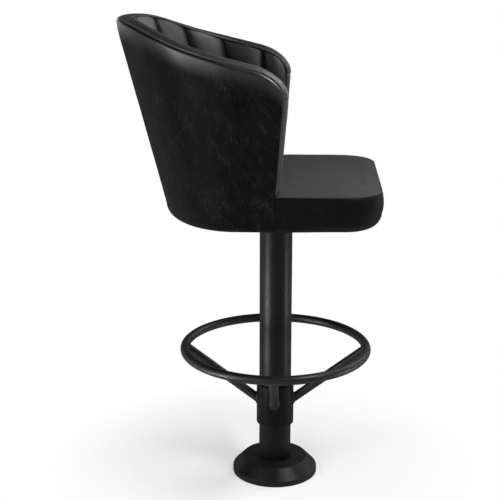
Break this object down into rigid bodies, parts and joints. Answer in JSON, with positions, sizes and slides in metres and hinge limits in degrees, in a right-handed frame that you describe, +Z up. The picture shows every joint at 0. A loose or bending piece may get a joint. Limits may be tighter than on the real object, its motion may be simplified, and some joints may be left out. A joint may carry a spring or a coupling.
{
  "type": "bolt-down bar stool",
  "caption": "Fixed bar stool on a round column: bolted floor plate under a bevelled cover, foot ring on spokes, and a swivelling tub seat with a fluted, rounded back.",
  "frame": {"origin": "on the column's axis, on the underside of the floor plate, which is the floor's level", "axes": "+Z up along the column; -Y towards the front of the seat; +X to the right, seen from the front"},
  "size_m": [0.478, 0.5922, 1.0948],
  "materials": {
    "column_coat": "satin black powder coat, fine texture",
    "cover_coat": "satin black powder coat, fine texture",
    "ring_coat": "satin black powder coat, fine texture",
    "primed_steel": "matt black primer",
    "bright_steel": "turned and zinc plated",
    "bronze": "oiled sintered bronze",
    "nylon": "natural nylon",
    "plywood": "sanded plywood",
    "outer_leather": "satin black, fine grain, light creases",
    "inner_leather": "satin black over foam",
    "seat_leather": "satin black over foam",
    "cambric": "black spun dust cloth"
  },
  "bodies": {
    "pedestal": {"floor_plate": "primed_steel", "column": "column_coat", "bearing_housing": "bright_steel", "upper_bush": "bronze", "lower_bush": "bronze", "thrust_washer": "nylon"},
    "cover": {"base_cover": "cover_coat"},
    "foot_rest": {"foot_ring": "ring_coat", "spoke_left": "ring_coat", "spoke_right": "ring_coat", "spoke_front": "ring_coat", "spoke_rear": "ring_coat", "foot_ring_collar": "ring_coat", "collar_set_screws": "bright_steel"},
    "seat": {"spindle": "bright_steel", "keeper_washer": "bright_steel", "circlip": "bright_steel", "seat_plate": "primed_steel", "plate_bolts": "bright_steel", "plate_washers": "bright_steel", "tee_nuts": "bright_steel", "seat_board": "plywood", "dust_cover": "cambric", "back_shell": "plywood", "back_screws": "bright_steel", "outer_back_cover": "outer_leather", "inner_back_pad": "inner_leather", "rim_band": "inner_leather", "left_facing": "inner_leather", "right_facing": "inner_leather", "seat_cushion": "seat_leather", "seat_border": "seat_leather"}
  },
  "joints": [
    {"name": "seat_swivel", "type": "hinge", "parent": "pedestal", "child": "seat", "pos_m": [0, 0, 0.6], "axis": [0, 0, 1], "continuous": true},
    {"name": "foot_ring_height", "type": "slide", "parent": "pedestal", "child": "foot_rest", "axis": [0, 0, 1], "range_m": [-0.04, 0.12]},
    {"name": "base_cover_lift", "type": "slide", "parent": "pedestal", "child": "cover", "axis": [0, 0, 1], "range_m": [0, 0.045]}
  ]
}
